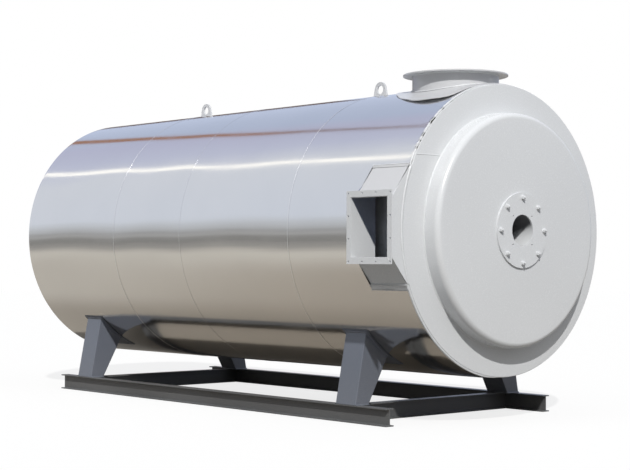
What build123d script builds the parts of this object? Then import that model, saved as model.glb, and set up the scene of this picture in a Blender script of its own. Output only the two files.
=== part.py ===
"""Hot air furnace: a drum in an insulated, sheet-clad jacket, on four legs and a beam base (mm).

The drum's axis runs along Y. The burner end faces -Y, the air inlet is on the -X side and the
outlet is on top. The origin is under the middle of the furnace, at the underside of the rails.
Stations are distances behind the face of the front ring; heights and offsets are from the axis.
"""
import os
from math import atan2, cos, degrees, radians, sin, sqrt

from build123d import *

os.makedirs("parts", exist_ok=True)

# Driving dimensions: body, from the drum outwards
body_length = 4577.0
drum_radius = 800.0
drum_wall = 8.0
air_gap = 105.0
wool_thickness = 105.0
sheet_thickness = 2.0
lap_width = 30.0
seam_shares = (0.2425, 0.519, 0.7125)
ring_step = 12.0
ring_thickness = 10.0

# Driving dimensions: heads and burner seat
head_depth = 140.0
head_knuckle = 40.0
head_crown = 15.0
head_seat_radius = 270.0
head_wall = 10.0
burner_plate_radius = 256.0
burner_plate_thickness = 12.0
burner_bore_radius = 107.0
burner_tube_wall = 6.0
burner_tube_length = 260.0
stud_square_width = 193.0
stud_hole_radius = 6.0

# Driving dimensions: outlet
outlet_station = 470.0
outlet_standoff = 96.0
neck_radius = 306.0
neck_wall = 6.0
outlet_flange_lip = 65.5
outlet_flange_thickness = 10.0
outlet_bolt_offset = 40.0
outlet_bolt_count = 8
outlet_hole_radius = 9.0
collar_outline = ((590.0, -440.0), (640.0, -210.0), (410.0, 190.0), (230.0, 370.0))
collar_corner_radius = 60.0
collar_thickness = 6.0
collar_wing_slope = 0.34

# Driving dimensions: air inlet
inlet_standoff = 114.0
inlet_width = 339.0
inlet_wall = 4.0
inlet_recess = 2.0
inlet_top_height = 204.0
inlet_bottom_depth = 190.0
hood_top_height = 405.0
hood_bottom_depth = 360.0
top_lip_width = 15.0
bottom_lip_width = 37.0
inlet_flange_lip = 41.0
inlet_flange_thickness = 5.0
inlet_hole_radius = 6.0
inlet_hole_edge = 16.0
inlet_side_hole_count = 4

# Driving dimensions: legs, lugs and base
front_leg_margin = 705.0
rear_leg_margin = 630.0
leg_width = 200.0
leg_foot_width = 125.0
leg_top_angle = 43.2
leg_low_angle = 58.3
pad_top_angle = 42.0
pad_low_angle = 66.0
pad_thickness = 4.0
pad_margin = 30.0
front_lug_margin = 1232.0
rear_lug_margin = 1210.0
lug_width = 140.0
lug_thickness = 16.0
lug_hole_radius = 32.0
lug_hole_height = 58.0
lug_rim = 26.0
lug_foot_height = 10.0
ground_clearance = 178.0
rail_gauge = 1600.0
front_rail_margin = 310.0
rear_rail_margin = 267.0
beam_depth = 120.0
beam_width = 74.0
beam_web = 5.0
beam_flange = 8.4

# Clearance between seated curved faces, the overrun of every cut, and the degrees in a turn
seat_clearance = 0.3
cut_overrun = 50.0
full_turn_angle = 360

# Derived sizes
jacket_inner_radius = drum_radius + air_gap
jacket_radius = jacket_inner_radius + wool_thickness
cladding_radius = jacket_radius + sheet_thickness
lap_radius = cladding_radius + sheet_thickness
ring_radius = cladding_radius - ring_step
seat_radius = cladding_radius + seat_clearance
pad_radius = seat_radius + pad_thickness
base_height = cladding_radius + ground_clearance
axis_height = base_height + beam_depth
burner_reach = head_depth + burner_plate_thickness
outlet_height = cladding_radius + outlet_standoff
inlet_reach = cladding_radius + inlet_standoff
inlet_front = inlet_recess + inlet_wall
inlet_rear = inlet_front + inlet_width
hood_reach = inlet_reach - inlet_flange_thickness
knee_reach = inlet_reach - inlet_flange_lip
hood_top_x = sqrt(cladding_radius**2 - hood_top_height**2)
hood_bottom_x = sqrt(cladding_radius**2 - hood_bottom_depth**2)
leg_stations = (front_leg_margin, body_length - rear_leg_margin)
lug_stations = (front_lug_margin, body_length - rear_lug_margin)
axis_x = (inlet_reach - lap_radius) / 2
front_y = (burner_reach - body_length - head_depth) / 2
furnace_axis = Axis((axis_x, front_y, axis_height), (0, 1, 0))


def section(station):
    """Plane across the axis at a station: local x is X, local y is Z, and it faces the front."""
    return Plane((axis_x, front_y + station, axis_height), x_dir=(1, 0, 0), z_dir=(0, -1, 0))


def along_axis():
    """Plane through the axis for turned profiles: local x is the station, local y the radius."""
    return Plane((axis_x, front_y, axis_height), x_dir=(0, 1, 0), z_dir=(1, 0, 0))


def level(height):
    """Level plane at a height over the axis, above the outlet's station."""
    return Plane((axis_x, front_y + outlet_station, axis_height + height))


def side(offset):
    """Plane facing +X at an offset from the axis: local x is the station, local y the height."""
    return Plane((axis_x + offset, front_y, axis_height), x_dir=(0, 1, 0), z_dir=(1, 0, 0))


def at_angle(radius, angle):
    """Point of a section plane at a radius, the angle in degrees from +X towards +Z."""
    return (radius * cos(radians(angle)), radius * sin(radians(angle)))


def write(piece, name):
    """Label a finished piece and write its file."""
    piece.part.label = name
    export_step(piece.part, f"parts/{name}.step")


def sector(radius, start_angle, end_angle):
    """Corners of a triangle from the axis that covers a sector out past a radius."""
    far = (radius + cut_overrun) / cos(radians((end_angle - start_angle) / 2))
    return [(0, 0), at_angle(far, start_angle), at_angle(far, end_angle)]


# Rails: two I-beams along the furnace
def beam_profile():
    """I-beam section about its centre, drawn in the current sketch."""
    Rectangle(beam_width, beam_depth)
    web_height = beam_depth - 2 * beam_flange
    with GridLocations(beam_width + beam_web, 0, 2, 1):
        Rectangle(beam_width, web_height, mode=Mode.SUBTRACT)


rail_end = body_length - rear_rail_margin
rail_length = rail_end - front_rail_margin
beam_middle = axis_height - beam_depth / 2
for rail_name, rail_side in (("left_rail", -1), ("right_rail", 1)):
    with BuildPart() as rail:
        with BuildSketch(section(rail_end)):
            with Locations((rail_side * rail_gauge / 2, -beam_middle)):
                beam_profile()
        extrude(amount=rail_length)
    write(rail, rail_name)

# Cross beams: flanges stop at the rails' flanges, the web runs on between them to the rails' webs
cross_length = rail_gauge - beam_width
web_reach = rail_gauge - beam_web
tongue_height = beam_depth - 2 * beam_flange - 2 * seat_clearance
for beam_name, station in zip(("front_cross_beam", "rear_cross_beam"), leg_stations):
    with BuildPart() as cross_beam:
        with BuildSketch(side(0)):
            with Locations((station, -beam_middle)):
                beam_profile()
        extrude(amount=cross_length / 2, both=True)
        with BuildSketch(side(0)):
            with Locations((station, -beam_middle)):
                Rectangle(beam_web, tongue_height)
        extrude(amount=web_reach / 2, both=True)
    write(cross_beam, beam_name)

# Legs and their pads: a box leg spreads from the rail up to a curved pad on the cladding
foot_outer = (rail_gauge + beam_width) / 2
foot_inner = foot_outer - leg_foot_width
for end_name, station in zip(("front", "rear"), leg_stations):
    for side_name, leg_side in (("left", -1), ("right", 1)):
        top = at_angle(pad_radius, leg_top_angle)
        low = at_angle(pad_radius, leg_low_angle)
        inside = at_angle(jacket_radius, (leg_top_angle + leg_low_angle) / 2)
        corners = [(foot_outer, base_height), (foot_inner, base_height), low, inside, top]
        with BuildPart() as leg:
            with BuildSketch(section(station + leg_width / 2)):
                with BuildLine():
                    Polyline([(leg_side * x, -z) for x, z in corners], close=True)
                make_face()
                Circle(pad_radius + seat_clearance, mode=Mode.SUBTRACT)
            extrude(amount=leg_width)
        write(leg, f"{end_name}_{side_name}_leg")

        wedge = sector(pad_radius, pad_top_angle, pad_low_angle)
        pad_length = leg_width + 2 * pad_margin
        with BuildPart() as pad:
            with BuildSketch(section(station + pad_length / 2)):
                Circle(pad_radius)
                Circle(seat_radius, mode=Mode.SUBTRACT)
                with BuildLine():
                    Polyline([(leg_side * x, -z) for x, z in wedge], close=True)
                make_face(mode=Mode.INTERSECT)
            extrude(amount=pad_length)
        write(pad, f"{end_name}_{side_name}_leg_pad")

# Drum: the inner shell between the two heads
jacket_length = body_length - 2 * ring_thickness
with BuildPart() as drum:
    with BuildSketch(section(ring_thickness + jacket_length)):
        Circle(drum_radius)
        Circle(drum_radius - drum_wall, mode=Mode.SUBTRACT)
    extrude(amount=jacket_length)
write(drum, "drum")

# Insulated jacket in four quarters: the top one is cut for the outlet, the left one for the inlet
inlet_cut_length = inlet_rear + inlet_wall + seat_clearance
inlet_cut_height = hood_top_height + hood_bottom_depth + 2 * seat_clearance
inlet_cut_middle = (hood_top_height - hood_bottom_depth) / 2


def inlet_cut():
    """Cut the inlet's way in through the shell, from the front back to its rear wall."""
    with BuildSketch(section(inlet_cut_length)) as way_in:
        with Locations((-inlet_reach / 2, inlet_cut_middle)):
            Rectangle(inlet_reach, inlet_cut_height)
    extrude(way_in.sketch, amount=inlet_cut_length + cut_overrun, mode=Mode.SUBTRACT)


def outlet_cut():
    """Cut the round way up for the outlet neck through the shell."""
    with BuildSketch(level(drum_radius)) as way_up:
        Circle(neck_radius + seat_clearance)
    extrude(way_up.sketch, amount=outlet_height, mode=Mode.SUBTRACT)


quarter = full_turn_angle / 4
for quarter_name, middle in (("right", 0), ("top", 1), ("left", 2), ("bottom", 3)):
    start_angle = quarter * middle - quarter / 2
    with BuildPart() as jacket:
        with BuildSketch(section(ring_thickness + jacket_length)):
            Circle(jacket_radius)
            Circle(jacket_inner_radius, mode=Mode.SUBTRACT)
            with BuildLine():
                Polyline(sector(jacket_radius, start_angle, start_angle + quarter), close=True)
            make_face(mode=Mode.INTERSECT)
        extrude(amount=jacket_length)
        if quarter_name == "top":
            outlet_cut()
        if quarter_name == "left":
            inlet_cut()
    write(jacket, f"{quarter_name}_jacket")

# Cladding: four rolled sheets, each lapped over the next, the end ones turned in beside the rings
lip_radius = ring_radius + seat_clearance
seams = [share * body_length for share in seam_shares]
sheet_starts = [ring_thickness] + seams
sheet_ends = seams + [body_length - ring_thickness]
sheet_names = ("front_cladding", "second_cladding", "third_cladding", "rear_cladding")
for sheet_name, start, end in zip(sheet_names, sheet_starts, sheet_ends):
    with BuildPart() as sheet:
        with BuildSketch(along_axis()):
            with BuildLine():
                Polyline(
                    (start, jacket_radius), (end, jacket_radius), (end, cladding_radius),
                    (start, cladding_radius), close=True,
                )
            make_face()
            lap_start = end - sheet_thickness
            lap_end = end + lap_width
            if sheet_name != sheet_names[-1]:
                with BuildLine():
                    Polyline(
                        (lap_start, jacket_radius), (end, jacket_radius), (end, cladding_radius),
                        (lap_end, cladding_radius), (lap_end, lap_radius), (lap_start, lap_radius),
                        close=True,
                    )
                make_face()
            if sheet_name == sheet_names[0]:
                with BuildLine():
                    Polyline(
                        (start - sheet_thickness, lip_radius), (start, lip_radius),
                        (start, cladding_radius), (start - sheet_thickness, cladding_radius),
                        close=True,
                    )
                make_face()
            if sheet_name == sheet_names[-1]:
                with BuildLine():
                    Polyline(
                        (end, lip_radius), (end + sheet_thickness, lip_radius),
                        (end + sheet_thickness, cladding_radius), (end, cladding_radius),
                        close=True,
                    )
                make_face()
        revolve(axis=furnace_axis)
        if sheet_name == sheet_names[0]:
            inlet_cut()
            outlet_cut()
    write(sheet, sheet_name)

# End rings: flat annular plates round the drum, closing the jacket
for ring_name, station in (("front_ring", ring_thickness), ("rear_ring", body_length)):
    with BuildPart() as ring:
        with BuildSketch(section(station)):
            Circle(ring_radius)
            Circle(drum_radius + seat_clearance, mode=Mode.SUBTRACT)
        extrude(amount=ring_thickness)
    write(ring, ring_name)

# Heads: flanged, slightly crowned ends with a rounded knuckle and a flat seat, turned from one profile
tube_radius = burner_bore_radius + burner_tube_wall


def head_profile(root, face, inner_radius):
    """Wall of a flanged head from its root station to its face, drawn in the current sketch."""
    outwards = 1 if face > root else -1
    rim_face = face - outwards * head_crown
    shoulder = rim_face - outwards * head_knuckle
    back = face - outwards * head_wall
    rim_back = rim_face - outwards * head_wall
    knuckle_radius = drum_radius - head_knuckle
    wall_radius = drum_radius - head_wall
    with BuildLine() as outline:
        rim = Line((root, wall_radius), (root, drum_radius))
        skirt = Line(rim @ 1, (shoulder, drum_radius))
        knuckle = TangentArc(skirt @ 1, (rim_face, knuckle_radius), tangent=skirt % 1)
        crown = Line(knuckle @ 1, (face, head_seat_radius))
        seat = Line(crown @ 1, (face, inner_radius))
        edge = Line(seat @ 1, (back, inner_radius))
        back_seat = Line(edge @ 1, (back, head_seat_radius))
        back_crown = Line(back_seat @ 1, (rim_back, knuckle_radius))
        inside = TangentArc(back_crown @ 1, (shoulder, wall_radius), tangent=back_seat % 1)
        Line(inside @ 1, rim @ 0)
    make_face(outline.edges())


with BuildPart() as front_head:
    with BuildSketch(along_axis()):
        head_profile(ring_thickness, -head_depth, tube_radius + seat_clearance)
    revolve(axis=furnace_axis)
    with BuildSketch(section(0)):
        with GridLocations(stud_square_width, stud_square_width, 2, 2):
            Circle(stud_hole_radius)
    extrude(amount=head_depth + cut_overrun, mode=Mode.SUBTRACT)
write(front_head, "front_head")

with BuildPart() as rear_head:
    with BuildSketch(along_axis()):
        head_profile(body_length - ring_thickness, body_length + head_depth, 0)
    revolve(axis=furnace_axis)
write(rear_head, "rear_head")

# Burner seat: a round plate on the front head, with its studs' holes, and the tube behind it
with BuildPart() as burner_plate:
    with BuildSketch(section(-head_depth)):
        Circle(burner_plate_radius)
        Circle(burner_bore_radius, mode=Mode.SUBTRACT)
        with GridLocations(stud_square_width, stud_square_width, 2, 2):
            Circle(stud_hole_radius, mode=Mode.SUBTRACT)
    extrude(amount=burner_plate_thickness)
write(burner_plate, "burner_plate")

with BuildPart() as burner_tube:
    with BuildSketch(section(burner_tube_length - head_depth)):
        Circle(tube_radius)
        Circle(burner_bore_radius, mode=Mode.SUBTRACT)
    extrude(amount=burner_tube_length)
write(burner_tube, "burner_tube")

# Outlet: a neck that ends on the jacket's inner wall, a drilled flange and a saddle collar
with BuildPart() as outlet_neck:
    with BuildSketch(level(drum_radius)):
        Circle(neck_radius)
        Circle(neck_radius - neck_wall, mode=Mode.SUBTRACT)
    extrude(amount=outlet_height - drum_radius)
    with BuildSketch(section(outlet_station + neck_radius + cut_overrun)):
        Circle(jacket_inner_radius)
    extrude(amount=2 * neck_radius + 2 * cut_overrun, mode=Mode.SUBTRACT)
write(outlet_neck, "outlet_neck")

with BuildPart() as outlet_flange:
    with BuildSketch(level(outlet_height - outlet_flange_thickness)):
        Circle(neck_radius + outlet_flange_lip)
        Circle(neck_radius + seat_clearance, mode=Mode.SUBTRACT)
        with PolarLocations(neck_radius + outlet_bolt_offset, outlet_bolt_count):
            Circle(outlet_hole_radius, mode=Mode.SUBTRACT)
    extrude(amount=outlet_flange_thickness)
write(outlet_flange, "outlet_flange")

# The collar is a saddle plate: bent to the cladding under the neck, with straight wings that stand off it
collar_half_width = max(x for x, y in collar_outline)
collar_half_length = max(abs(y) for x, y in collar_outline)
collar_radius = seat_radius + collar_thickness
wing_root = sqrt(seat_radius**2 - neck_radius**2)
wing_tip = wing_root - collar_wing_slope * (collar_half_width - neck_radius)
with BuildPart() as outlet_collar:
    with BuildSketch(section(outlet_station + collar_half_length)):
        with Locations((0, collar_radius / 2)):
            Rectangle(2 * neck_radius, collar_radius)
        Circle(collar_radius, mode=Mode.INTERSECT)
        Circle(seat_radius, mode=Mode.SUBTRACT)
        for wing_side in (-1, 1):
            with BuildLine():
                Polyline(
                    (wing_side * neck_radius, wing_root),
                    (wing_side * collar_half_width, wing_tip),
                    (wing_side * collar_half_width, wing_tip + collar_thickness),
                    (wing_side * neck_radius, wing_root + collar_thickness),
                    close=True,
                )
            make_face()
    extrude(amount=2 * collar_half_length)
    with BuildSketch(level(0)) as outline:
        with BuildLine():
            left_side = [(-x, y) for x, y in collar_outline]
            Polyline(list(collar_outline) + left_side[::-1], close=True)
        make_face()
        fillet(outline.vertices(), collar_corner_radius)
        Circle(neck_radius + seat_clearance, mode=Mode.SUBTRACT)
    extrude(amount=outlet_height, mode=Mode.INTERSECT)
write(outlet_collar, "outlet_collar")

# Air inlet: two upright walls, kneed top and bottom plates with lips, and a drilled flange
top_line = [
    (-hood_reach, inlet_top_height), (-knee_reach, inlet_top_height), (-hood_top_x, hood_top_height),
]
bottom_line = [
    (-hood_reach, -inlet_bottom_depth), (-knee_reach, -inlet_bottom_depth),
    (-hood_bottom_x, -hood_bottom_depth),
]
hood_outline = top_line + [(0, hood_top_height), (0, -hood_bottom_depth)] + bottom_line[::-1]
with BuildPart() as front_wall:
    with BuildSketch(section(inlet_front)):
        with BuildLine():
            Polyline(hood_outline, close=True)
        make_face()
        Circle(ring_radius + seat_clearance, mode=Mode.SUBTRACT)
    extrude(amount=inlet_wall)
write(front_wall, "inlet_front_wall")

with BuildPart() as rear_wall:
    with BuildSketch(section(inlet_rear + inlet_wall)):
        with BuildLine():
            Polyline(hood_outline, close=True)
        make_face()
        Rectangle(2 * jacket_inner_radius, 2 * inlet_cut_height, mode=Mode.SUBTRACT)
    extrude(amount=inlet_wall)
write(rear_wall, "inlet_rear_wall")

for plate_name, lip_width, line in (
    ("inlet_top_plate", top_lip_width, top_line),
    ("inlet_bottom_plate", bottom_lip_width, bottom_line),
):
    shell = line[-1]
    upwards = 1 if shell[1] > 0 else -1
    inner_side = Side.RIGHT if upwards > 0 else Side.LEFT
    shell_angle = degrees(atan2(shell[1], shell[0])) % full_turn_angle
    lip_start = shell_angle + upwards * degrees(inlet_wall / cladding_radius)
    lip_end = shell_angle - upwards * degrees(lip_width / cladding_radius)
    with BuildPart() as plate:
        with BuildSketch(section(inlet_rear)):
            with BuildLine():
                Polyline(line)
                offset(amount=inlet_wall, kind=Kind.INTERSECTION, side=inner_side, closed=True)
            make_face()
            Circle(seat_radius, mode=Mode.SUBTRACT)
        extrude(amount=inlet_width)
        with BuildSketch(section(inlet_rear)):
            Circle(seat_radius + inlet_wall)
            Circle(seat_radius, mode=Mode.SUBTRACT)
            with BuildLine():
                Polyline(sector(seat_radius + inlet_wall, lip_start, lip_end), close=True)
            make_face(mode=Mode.INTERSECT)
        extrude(amount=inlet_width)
    write(plate, plate_name)

opening_height = inlet_top_height + inlet_bottom_depth
opening_middle = (inlet_top_height - inlet_bottom_depth) / 2
inlet_middle = inlet_front + inlet_width / 2
flange_width = inlet_width + 2 * inlet_flange_lip
flange_height = opening_height + 2 * inlet_flange_lip
hole_span_width = flange_width - 2 * inlet_hole_edge
hole_span_height = flange_height - 2 * inlet_hole_edge
hole_pitch_width = hole_span_width / (inlet_side_hole_count - 1)
hole_pitch_height = hole_span_height / (inlet_side_hole_count - 1)
with BuildPart() as inlet_flange:
    with BuildSketch(side(-inlet_reach)):
        with Locations((inlet_middle, opening_middle)):
            Rectangle(flange_width, flange_height)
            Rectangle(inlet_width, opening_height, mode=Mode.SUBTRACT)
            with GridLocations(hole_span_width, hole_pitch_height, 2, inlet_side_hole_count):
                Circle(inlet_hole_radius, mode=Mode.SUBTRACT)
            with GridLocations(hole_pitch_width, hole_span_height, inlet_side_hole_count, 2):
                Circle(inlet_hole_radius, mode=Mode.SUBTRACT)
    extrude(amount=inlet_flange_thickness)
write(inlet_flange, "inlet_flange")

# Lifting lugs: drilled plates along the top, round over the hole
for lug_name, station in zip(("front_lifting_lug", "rear_lifting_lug"), lug_stations):
    with BuildPart() as lug:
        with BuildSketch(side(0)):
            with Locations((station, cladding_radius + lug_hole_height)):
                Circle(lug_hole_radius + lug_rim)
            with Locations((station, cladding_radius + lug_foot_height / 2)):
                Rectangle(lug_width, lug_foot_height)
            make_hull()
            with Locations((station, cladding_radius + lug_hole_height)):
                Circle(lug_hole_radius, mode=Mode.SUBTRACT)
        extrude(amount=lug_thickness / 2, both=True)
    write(lug, lug_name)
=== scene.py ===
"""Hot air furnace, dressed for pictures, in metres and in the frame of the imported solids.

Turned and draped sheets are surfaces worked out with numpy, plate work is a softened copy of the
solids, and every finish is a node tree. Stations are distances behind the front ring's face, angles
are measured about the furnace's axis from +X towards +Z, and the air inlet is on the -X side.
"""

from math import asin, cos, pi, radians, sin

import bmesh
import bpy
import numpy as np
from mathutils import Matrix, Vector


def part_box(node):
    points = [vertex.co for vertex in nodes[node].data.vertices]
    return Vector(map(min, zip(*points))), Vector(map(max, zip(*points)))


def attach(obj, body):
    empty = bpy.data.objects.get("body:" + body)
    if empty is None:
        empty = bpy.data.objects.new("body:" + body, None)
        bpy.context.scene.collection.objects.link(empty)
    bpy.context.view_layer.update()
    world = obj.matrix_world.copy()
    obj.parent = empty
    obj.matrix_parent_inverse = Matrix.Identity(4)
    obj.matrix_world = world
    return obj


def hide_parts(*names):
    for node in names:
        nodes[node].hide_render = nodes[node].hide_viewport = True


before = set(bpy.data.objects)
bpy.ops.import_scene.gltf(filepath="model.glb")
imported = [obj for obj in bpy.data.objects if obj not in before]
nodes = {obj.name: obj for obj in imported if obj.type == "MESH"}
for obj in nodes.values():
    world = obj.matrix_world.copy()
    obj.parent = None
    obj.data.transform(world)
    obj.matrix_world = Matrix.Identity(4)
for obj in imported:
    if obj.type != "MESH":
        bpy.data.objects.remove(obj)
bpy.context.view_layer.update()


# Places and sizes read from the frame
def spans(node):
    """Lowest corner and size of a node's box, as arrays."""
    low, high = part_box(node)
    return np.array(low), np.array(high) - np.array(low)


ring_low, ring_size = spans("front_ring")
rear_low, rear_size = spans("rear_ring")
head_low, head_size = spans("front_head")
sheet_size = spans("rear_cladding")[1]
plate_size = spans("burner_plate")[1]
tube_low, tube_size = spans("burner_tube")
neck_low, neck_size = spans("outlet_neck")
drum_low, drum_size = spans("drum")
flange_low, flange_size = spans("outlet_flange")
inlet_low, inlet_size = spans("inlet_rear_wall")
mouth_low, mouth_size = spans("inlet_flange")
rail_low, rail_size = spans("left_rail")
axis_x = ring_low[0] + ring_size[0] / 2
axis_z = ring_low[2] + ring_size[2] / 2
front_y = ring_low[1]
ring_radius = ring_size[0] / 2
ring_thickness = ring_size[1]
body_length = rear_low[1] + rear_size[1] - front_y
cladding_radius = sheet_size[0] / 2
head_radius = head_size[0] / 2
head_depth = front_y - head_low[1]
plate_thickness = plate_size[1]
tube_radius = tube_size[0] / 2
neck_radius = neck_size[0] / 2
outlet_station = neck_low[1] + neck_size[1] / 2 - front_y
outlet_top = flange_low[2] + flange_size[2]
hood_rear = inlet_low[1] + inlet_size[1] - front_y
mouth_back = mouth_low[0] + mouth_size[0]
rail_top = rail_low[2] + rail_size[2]
seams = [spans(name)[0][1] - front_y for name in ("second_cladding", "third_cladding", "rear_cladding")]

# Sizes of the sheets, sleeve and trim
sheet_thickness = 0.002
lap_width = 0.030
sheet_columns = 480
fine_columns = 720
seam_bead_sizes = ((0.0030, 0.0009), (0.0022, 0.0006), (0.0030, 0.0009))
seam_bead_offset = 0.005
seam_bead_seat = 0.4 * sheet_thickness
seat_clearance = 0.0003
seat_radius = cladding_radius + seat_clearance
end_reach = 0.002
end_run = 0.020
neck_hole_margin = 0.030
sleeve_inset = 0.030
sleeve_rows = 90
sleeve_columns = 360
sleeve_gaps = (0.004, 0.012)
sleeve_hood_margin = 0.040
trim_columns = 1440
trim_corners = ((0.003, -0.0117), (0.003, 0.0), (0.0140, 0.0006))
trim_rounding = 0.004
trim_seat = 0.0004
trim_follow = 0.9

# Sizes of the ends, drum and outlet
head_knuckle = 0.040
head_crown = 0.015
head_seat_radius = 0.270
head_wall = 0.010
head_fall_power = 1.3
head_skirt_run = 0.020
edge_rounding = 0.003
drum_wall = 0.008
tube_wall = 0.006
neck_wall = 0.006
jacket_depth = 0.107
collar_sheet = 0.006
collar_outline = ((0.505, -0.440), (0.562, -0.190), (0.410, 0.190), (0.230, 0.370))
collar_wing_slope = 0.34
collar_spring = 0.56
collar_corner_power = 14.0
collar_ripple = 0.004

# Sizes of the nuts and welds
bolt_circle_radius = 0.222
bolt_count = 8
nut_width = 0.027
nut_height = 0.017
stud_radius = 0.008
stud_height = 0.027
washer_radius = 0.019
washer_height = 0.003
weld_leg = 0.006
weld_pitch = 0.007
neck_weld_size = (0.008, 0.007)
leg_weld_leg = 0.007
hood_weld_height = 0.005
hood_ring_weld_leg = 0.009
mitre_weld_size = (0.003, 0.001)
ring_joint_size = (0.004, 0.0015)

# Sizes of the legs, lugs and inlet
pad_sheet = 0.004
pad_radius = seat_radius + pad_sheet
leg_angles = (43.2, 58.3)
leg_half_width = 0.100
leg_foot_width = 0.125
leg_steps = 60
lug_half_thickness = 0.008
lug_half_width = 0.070
hood_top_height = 0.4053
hood_bottom_depth = 0.3603
hood_wall = 0.004
hood_top_angle = pi - asin(hood_top_height / cladding_radius)
hood_low_angle = pi + asin(hood_bottom_depth / cladding_radius)
hood_span = (hood_top_angle, hood_low_angle)
hood_front = 0.006
top_lip_width = 0.015
bottom_lip_width = 0.037
mouth_lip = 0.041
mitre_length = mouth_lip - 0.024
weld_nut_half_width = 0.0085
weld_nut_bore = 0.0061
weld_nut_height = 0.006
full_turn = 2 * pi


# Shader maths
class Value:
    """A socket in a node tree. Arithmetic on it adds Math nodes."""

    def __init__(self, tree, socket):
        self.tree = tree
        self.socket = socket

    def math(self, operation, first, second=0.0):
        return self.tree.node("ShaderNodeMath", {"operation": operation}, {0: first, 1: second})

    def __add__(self, other):
        return self.math("ADD", self, other)

    def __radd__(self, other):
        return self.math("ADD", other, self)

    def __sub__(self, other):
        return self.math("SUBTRACT", self, other)

    def __rsub__(self, other):
        return self.math("SUBTRACT", other, self)

    def __mul__(self, other):
        return self.math("MULTIPLY", self, other)

    def __rmul__(self, other):
        return self.math("MULTIPLY", other, self)

    def __truediv__(self, other):
        return self.math("DIVIDE", self, other)

    def over(self, low, high):
        """A soft step from 0 at low to 1 at high."""
        return self.tree.node(
            "ShaderNodeMapRange", {"interpolation_type": "SMOOTHSTEP"}, {0: self, 1: low, 2: high}
        )


class Tree:
    """The node tree of one material or of the world. Every node comes from node()."""

    def __init__(self, owner):
        owner.use_nodes = True
        self.nodes = owner.node_tree.nodes
        self.links = owner.node_tree.links
        self.nodes.clear()

    def node(self, kind, settings=None, inputs=None, out=0):
        """Add a node of a type: its settings first, then its sockets' values or links."""
        made = self.nodes.new(kind)
        for name, setting in (settings or {}).items():
            if name == "stops":
                self.set_stops(made.color_ramp, setting)
            else:
                setattr(made, name, setting)
        for key, given in (inputs or {}).items():
            socket = made.inputs[key]
            if isinstance(given, Value):
                self.links.new(given.socket, socket)
            elif isinstance(given, tuple) and socket.type == "RGBA":
                socket.default_value = (*given[:3], 1.0)
            else:
                socket.default_value = given
        return Value(self, made.outputs[out]) if len(made.outputs) else None

    def set_stops(self, ramp, stops):
        """Set a colour ramp's stops from pairs of place and colour."""
        while len(ramp.elements) < len(stops):
            ramp.elements.new(1.0)
        for element, (place, colour) in zip(ramp.elements, stops):
            element.position = place
            element.color = (*colour, 1.0)

    def place(self):
        """Object coordinates, in metres."""
        return self.node("ShaderNodeTexCoord", out="Object")

    def part(self, vector, axis):
        """One part of a vector: 0, 1 or 2 for X, Y or Z."""
        return self.node("ShaderNodeSeparateXYZ", {}, {0: vector}, out=axis)

    def stretched(self, vector, scale):
        """Coordinates scaled along each axis."""
        return self.node("ShaderNodeMapping", {}, {"Vector": vector, "Scale": scale})

    def noise(self, vector, scale, detail=3.0, rough=0.5):
        """Cloudy values about 0.5."""
        inputs = {"Vector": vector, "Scale": scale, "Detail": detail, "Roughness": rough}
        return self.node("ShaderNodeTexNoise", {}, inputs)

    def blend(self, factor, first, second):
        """Colour between two colours."""
        inputs = {0: factor, 6: first, 7: second}
        return self.node("ShaderNodeMix", {"data_type": "RGBA"}, inputs, out=2)

    def bump(self, height, distance, strength=1.0):
        """Normal bent by a height, where a height of one is so many metres."""
        inputs = {"Height": height, "Distance": distance, "Strength": strength}
        return self.node("ShaderNodeBump", {}, inputs)

    def surface(self, inputs):
        """Principled surface on the output."""
        shader = self.node("ShaderNodeBsdfPrincipled", {}, inputs)
        self.output(shader)

    def glow(self, colour):
        """Plain brightness on the output."""
        self.output(self.node("ShaderNodeEmission", {}, {"Color": colour, "Strength": 1.0}))

    def output(self, shader, kind="ShaderNodeOutputMaterial"):
        """Link a shader to the tree's output."""
        self.node(kind, {}, {"Surface": shader})


def tone(red, green, blue):
    """Linear colour of a screen colour given from 0 to 255."""
    steps = np.array([red, green, blue]) / 255
    linear = np.where(steps <= 0.04045, steps / 12.92, ((steps + 0.055) / 1.055) ** 2.4)
    return tuple(float(part) for part in linear)


def new_tree(name):
    """A new material and its empty tree."""
    material = bpy.data.materials.new(name)
    return material, Tree(material)


# Finishes
def polished_cladding():
    """Polished stainless sheet: fine lines along the furnace, faint smears, a soft roll wave."""
    material, look = new_tree("polished_cladding")
    sheet = look.node("ShaderNodeUVMap", {"uv_map": "sheet"})
    lines = look.noise(look.stretched(sheet, (900.0, 3.0, 1.0)), 1.0, 2.0)
    bands = look.noise(look.stretched(sheet, (28.0, 0.5, 1.0)), 1.0, 3.0)
    smears = look.noise(look.place(), 1.7, 5.0, 0.6)
    colour = look.blend(smears, (0.60, 0.60, 0.60), (0.66, 0.655, 0.65))
    rough = 0.085 + 0.03 * lines + 0.03 * bands + 0.04 * smears.over(0.45, 0.75)
    normal = look.bump(bands, 0.0004, 0.5)
    look.surface({"Base Color": colour, "Metallic": 1.0, "Roughness": rough, "Normal": normal})
    return material


def worn_steel(name, light, dark, roughness):
    """Bare sheet steel that was never polished: fine grain and dull patches."""
    material, look = new_tree(name)
    place = look.place()
    grain = look.noise(place, 300.0, 2.0, 0.6)
    patches = look.noise(place, 9.0, 3.0, 0.5)
    colour = look.blend(0.5 * grain + 0.5 * patches, dark, light)
    rough = roughness + 0.08 * patches + 0.04 * grain
    normal = look.bump(grain, 0.00005, 0.5)
    look.surface({"Base Color": colour, "Metallic": 1.0, "Roughness": rough, "Normal": normal})
    return material


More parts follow.
